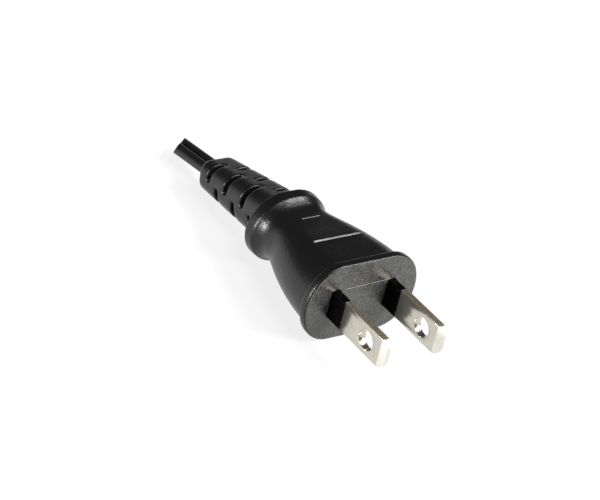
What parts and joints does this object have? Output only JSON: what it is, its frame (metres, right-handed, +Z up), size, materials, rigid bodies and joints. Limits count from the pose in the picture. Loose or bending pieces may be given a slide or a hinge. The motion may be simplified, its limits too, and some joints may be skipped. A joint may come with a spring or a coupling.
{
  "type": "type a plug",
  "caption": "Moulded two-blade mains plug with insulated blade roots, a waisted grip, a collar, a slotted strain relief and a short stub of flat twin cord.",
  "frame": {"origin": "under the middle of the part's box, on the surface it lies on", "axes": "+X forward along the blades, +Y across the two blades, +Z up"},
  "size_m": [0.0826, 0.0254, 0.0164],
  "materials": {
    "body_pvc": "satin black, finely textured",
    "carrier_plastic": "smooth black",
    "blade_metal": "nickel plated, satin",
    "cord_pvc": "satin black",
    "copper": "bare copper"
  },
  "bodies": {
    "root": {"plug_body": "body_pvc", "blade_carrier": "carrier_plastic", "blade_left": "blade_metal", "blade_right": "blade_metal", "cord_insulation": "cord_pvc", "conductor_left": "copper", "conductor_right": "copper"}
  },
  "joints": []
}
